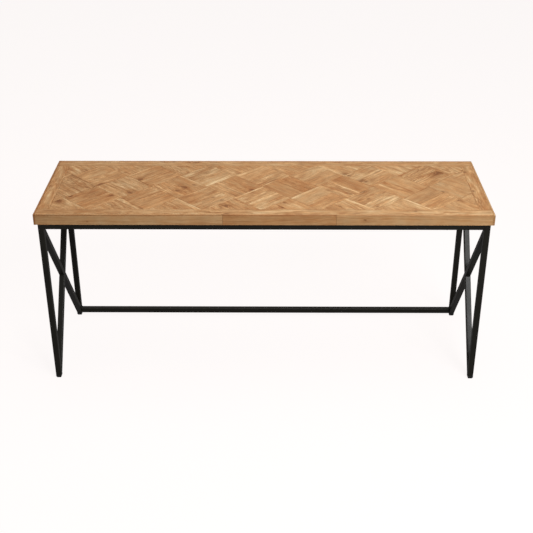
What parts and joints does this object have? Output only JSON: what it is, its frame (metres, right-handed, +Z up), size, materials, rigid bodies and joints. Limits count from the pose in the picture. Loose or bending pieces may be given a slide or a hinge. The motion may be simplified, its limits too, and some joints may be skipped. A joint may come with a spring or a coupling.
{
  "type": "entryway bench",
  "caption": "Long narrow entryway bench: basket-weave parquet top in a solid border on a slim black square-tube frame with crossed braces at both ends and a low rear stretcher.",
  "frame": {"origin": "on the floor under the middle of the top, the centre of the bounding box's bottom face", "axes": "+X along the bench to its right end, +Y to its rear where the low stretcher is, +Z up"},
  "size_m": [1.05, 0.32, 0.45],
  "materials": {
    "parquet_oak": "matte oiled",
    "border_oak": "matte oiled",
    "core_plywood": "raw",
    "frame_powder_coat": "satin black powder coat",
    "glide_plastic": "moulded matte",
    "screw_steel": "zinc plated"
  },
  "bodies": {
    "root": {"core_panel": "core_plywood", "front_border": "border_oak", "front_left_glide": "glide_plastic", "front_left_leg": "frame_powder_coat", "front_lipping_left": "border_oak", "front_lipping_middle": "border_oak", "front_lipping_right": "border_oak", "front_right_glide": "glide_plastic", "front_right_leg": "frame_powder_coat", "front_top_rail": "frame_powder_coat", "left_border": "border_oak", "left_lipping": "border_oak", "left_long_brace": "frame_powder_coat", "left_lower_brace": "frame_powder_coat", "left_top_rail": "frame_powder_coat", "left_upper_brace": "frame_powder_coat", "parquet_front_1": "parquet_oak", "parquet_front_2": "parquet_oak", "parquet_front_3": "parquet_oak", "parquet_front_4": "parquet_oak", "parquet_front_5": "parquet_oak", "parquet_front_6": "parquet_oak", "parquet_front_7": "parquet_oak", "parquet_front_8": "parquet_oak", "parquet_front_9": "parquet_oak", "parquet_front_edge": "parquet_oak", "parquet_middle_1": "parquet_oak", "parquet_middle_2": "parquet_oak", "parquet_middle_3": "parquet_oak", "parquet_middle_4": "parquet_oak", "parquet_middle_5": "parquet_oak", "parquet_middle_6": "parquet_oak", "parquet_middle_7": "parquet_oak", "parquet_middle_8": "parquet_oak", "parquet_rear_1": "parquet_oak", "parquet_rear_2": "parquet_oak", "parquet_rear_3": "parquet_oak", "parquet_rear_4": "parquet_oak", "parquet_rear_5": "parquet_oak", "parquet_rear_6": "parquet_oak", "parquet_rear_7": "parquet_oak", "parquet_rear_8": "parquet_oak", "parquet_rear_9": "parquet_oak", "parquet_rear_edge": "parquet_oak", "rear_border": "border_oak", "rear_left_glide": "glide_plastic", "rear_left_leg": "frame_powder_coat", "rear_lipping_left": "border_oak", "rear_lipping_right": "border_oak", "rear_right_glide": "glide_plastic", "rear_right_leg": "frame_powder_coat", "rear_stretcher": "frame_powder_coat", "rear_top_rail": "frame_powder_coat", "right_border": "border_oak", "right_lipping": "border_oak", "right_long_brace": "frame_powder_coat", "right_lower_brace": "frame_powder_coat", "right_top_rail": "frame_powder_coat", "right_upper_brace": "frame_powder_coat", "top_screws": "screw_steel"}
  },
  "joints": []
}
